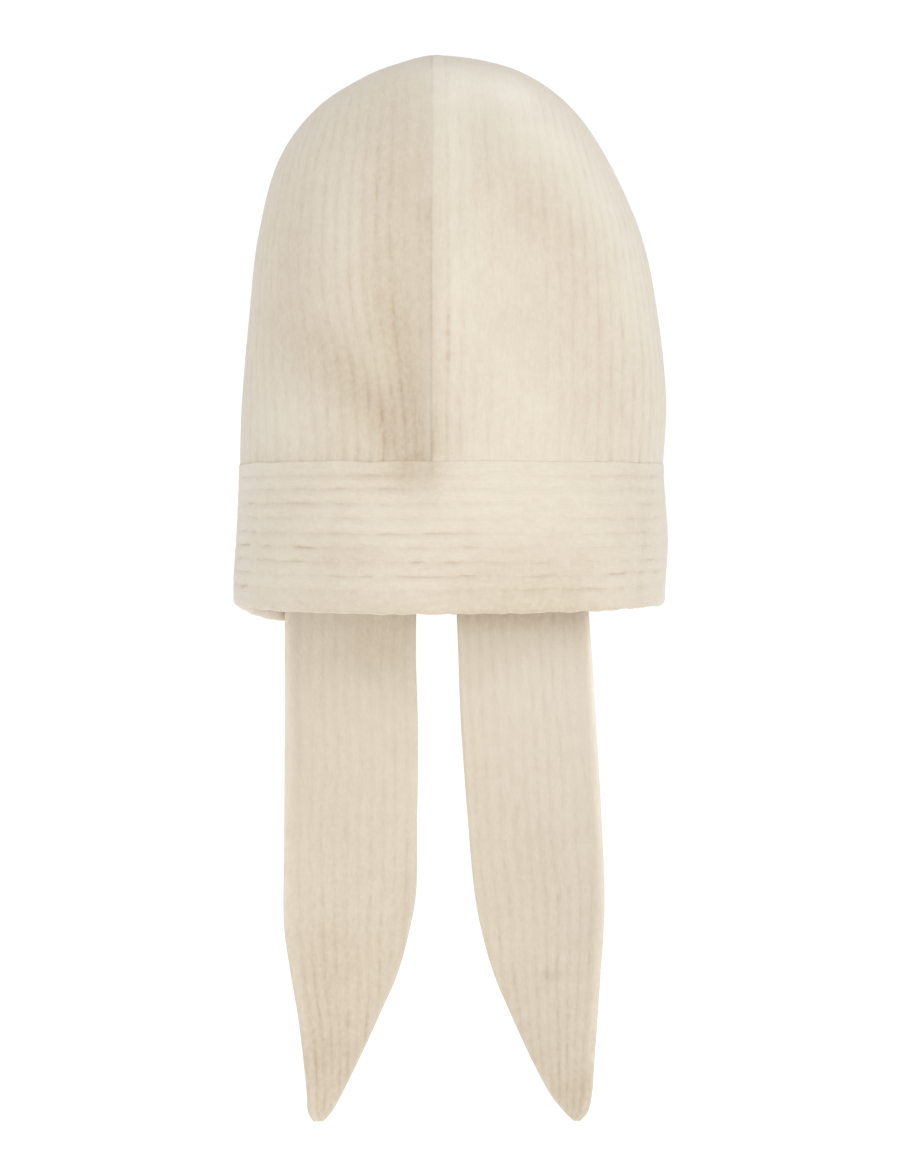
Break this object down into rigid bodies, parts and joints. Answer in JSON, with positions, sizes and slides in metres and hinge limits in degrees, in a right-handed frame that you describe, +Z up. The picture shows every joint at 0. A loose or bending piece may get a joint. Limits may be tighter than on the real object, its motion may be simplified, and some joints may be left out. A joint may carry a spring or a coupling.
{
  "type": "knit hood with ties",
  "caption": "Deep ribbed wool hood with a centre seam, a cross-ribbed band round its opening and long pointed ties hanging from the back of the band.",
  "frame": {"origin": "where the top of the head meets the inside of the crown, so the hood hangs down from it", "axes": "+Z up, -Y towards the front of the hood, +X to the right as the front is looked at; the ties hang along -Z"},
  "size_m": [0.1893, 0.2081, 0.4671],
  "materials": {
    "crown_wool": "brushed cream rib knit, ribs upright",
    "band_wool": "brushed cream rib knit, double, ribs round the head",
    "tie_wool": "brushed cream rib knit, ribs along the tie"
  },
  "bodies": {
    "root": {"crown_left": "crown_wool", "crown_right": "crown_wool", "band": "band_wool", "tie_left": "tie_wool", "tie_right": "tie_wool"}
  },
  "joints": []
}
